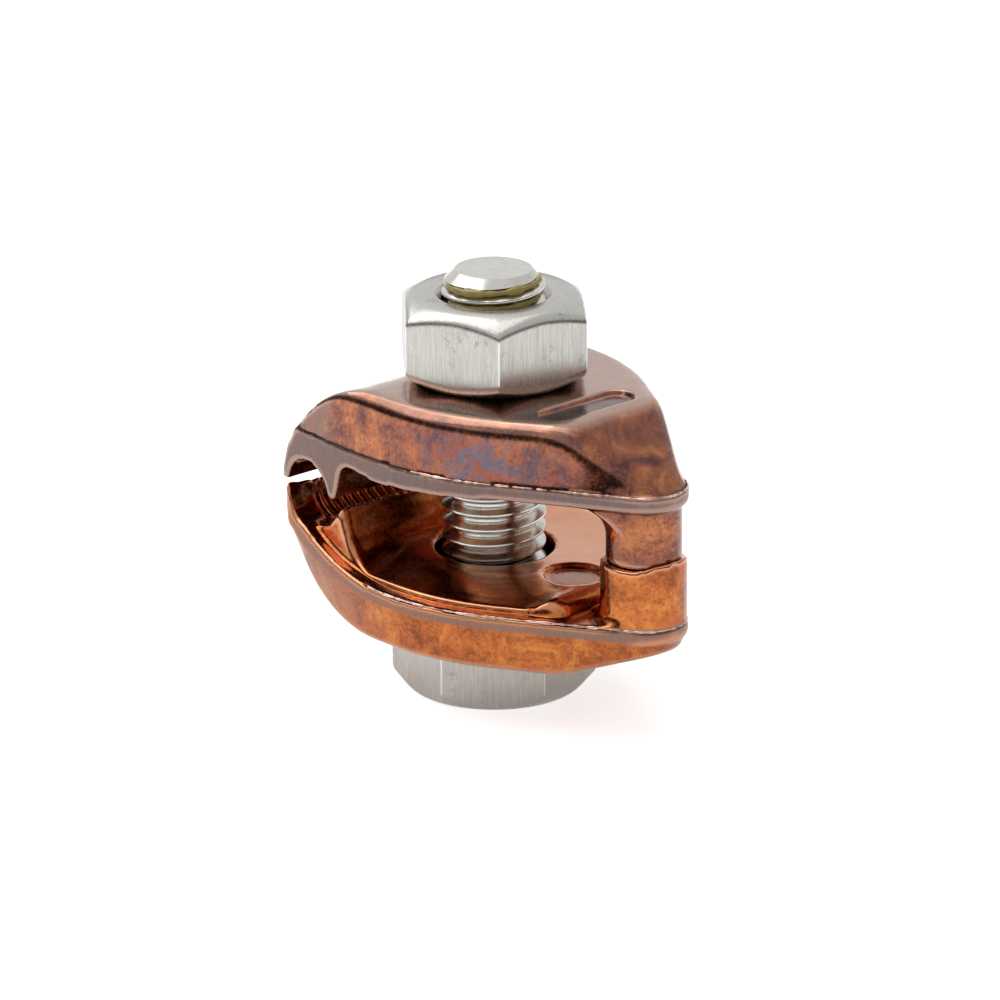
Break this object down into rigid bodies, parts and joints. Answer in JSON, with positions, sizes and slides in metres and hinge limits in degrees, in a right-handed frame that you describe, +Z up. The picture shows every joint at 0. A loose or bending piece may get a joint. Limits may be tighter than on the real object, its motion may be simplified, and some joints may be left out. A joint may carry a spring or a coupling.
{
  "type": "suspension clamp",
  "caption": "Wire clamp with an upper and a lower forged jaw on a hex bolt; a ribbed groove grips the wire at the front and a post seats in the heel.",
  "frame": {"origin": "on the bolt axis, at the underside of the bolt head, where the clamp stands", "axes": "+Z up the bolt from head to nut, +X from the wire groove to the heel, +Y along the wire"},
  "size_m": [0.0407, 0.0274, 0.0412],
  "materials": {
    "lower_jaw": "forged copper alloy, bright and heat tinted",
    "upper_jaw": "forged copper alloy, bright and heat tinted",
    "bolt": "plain stainless steel",
    "nut": "plain stainless steel"
  },
  "bodies": {
    "lower_jaw": {"lower_jaw": "lower_jaw"},
    "bolt": {"bolt": "bolt"},
    "upper_jaw": {"upper_jaw": "upper_jaw"},
    "nut": {"nut": "nut"}
  },
  "joints": [
    {"name": "bolt_turn", "type": "hinge", "parent": "lower_jaw", "child": "bolt", "pos_m": [0, 0, 0], "axis": [0, 0, 1], "continuous": true},
    {"name": "upper_jaw_lift", "type": "slide", "parent": "lower_jaw", "child": "upper_jaw", "axis": [0, 0, 1], "range_m": [0, 0.0075]},
    {"name": "nut_turn", "type": "hinge", "parent": "upper_jaw", "child": "nut", "pos_m": [0, 0, 0.0308], "axis": [0, 0, 1], "range_deg": [0, 1800]}
  ],
  "couplings": [
    {"joint": "nut_turn", "follows": "upper_jaw_lift", "rad_per_m": 4188.8}
  ]
}
